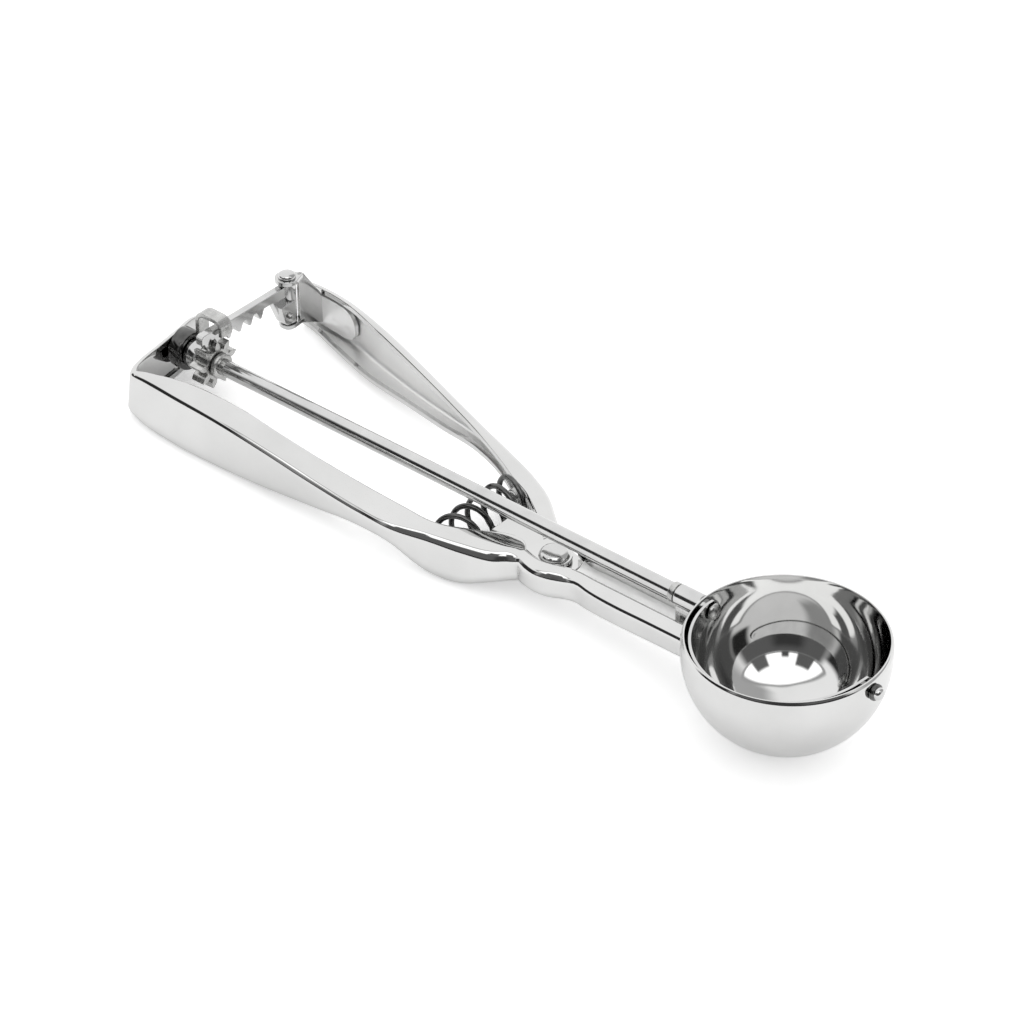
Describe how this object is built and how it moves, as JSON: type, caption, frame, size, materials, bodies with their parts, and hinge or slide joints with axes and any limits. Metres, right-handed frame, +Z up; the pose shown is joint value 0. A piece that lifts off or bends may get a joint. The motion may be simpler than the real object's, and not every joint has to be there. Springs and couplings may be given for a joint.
{
  "type": "ice cream scoop",
  "caption": "Polished steel ice cream scoop: round bowl, curved scraper blade turned by a rack and pinion when the sprung lever handle is squeezed.",
  "frame": {"origin": "under the middle of the whole scoop's box, on the surface it lies on", "axes": "+X from the handles to the bowl, +Y towards the squeezed lever, +Z up through the mouth of the bowl"},
  "size_m": [0.2314, 0.0672, 0.0315],
  "materials": {
    "mirror_steel": "mirror-polished stainless sheet",
    "polished_steel": "polished stainless steel",
    "satin_steel": "tumbled satin stainless steel",
    "spring_wire": "bright drawn spring wire"
  },
  "bodies": {
    "frame": {"bowl": "mirror_steel", "frame_shell": "mirror_steel", "bearing_plate": "satin_steel", "bearing_cup": "polished_steel", "rack_guide": "satin_steel", "front_bearing": "polished_steel", "pivot_rivet": "polished_steel", "pivot_washer": "satin_steel", "rim_pin": "polished_steel", "rim_pin_collar": "satin_steel", "spring_peg_frame": "satin_steel", "spring": "spring_wire"},
    "lever": {"lever_shell": "mirror_steel", "rack_bracket": "polished_steel", "rack_pin": "polished_steel", "spring_peg_lever": "satin_steel"},
    "rack": {"rack": "polished_steel", "rack_rivet": "satin_steel"},
    "scraper": {"scraper_rod": "polished_steel", "pinion": "satin_steel", "pinion_collar": "satin_steel", "rod_collar": "satin_steel", "blade": "polished_steel", "blade_rivet": "satin_steel"}
  },
  "joints": [
    {"name": "lever_squeeze", "type": "hinge", "parent": "frame", "child": "lever", "pos_m": [0.0165, -0.00824, 0.01304], "axis": [-0.0844, 0, 0.9964], "range_deg": [0, 8], "stiffness_Nm_per_rad": 5, "springref_deg": -11.46, "deforming": ["spring"]},
    {"name": "rack_turn", "type": "hinge", "parent": "lever", "child": "rack", "pos_m": [-0.1011, 0.02096, 0.01994], "axis": [-0.0844, 0, 0.9964], "range_deg": [0, 2.8]},
    {"name": "scraper_turn", "type": "hinge", "parent": "frame", "child": "scraper", "pos_m": [-0.09789, -0.00824, 0.01038], "axis": [0.9964, 0, 0.0844], "range_deg": [0, 165.6]}
  ],
  "couplings": [
    {"joint": "rack_turn", "follows": "lever_squeeze", "ratio": 0.35},
    {"joint": "scraper_turn", "follows": "lever_squeeze", "ratio": 20.7}
  ]
}
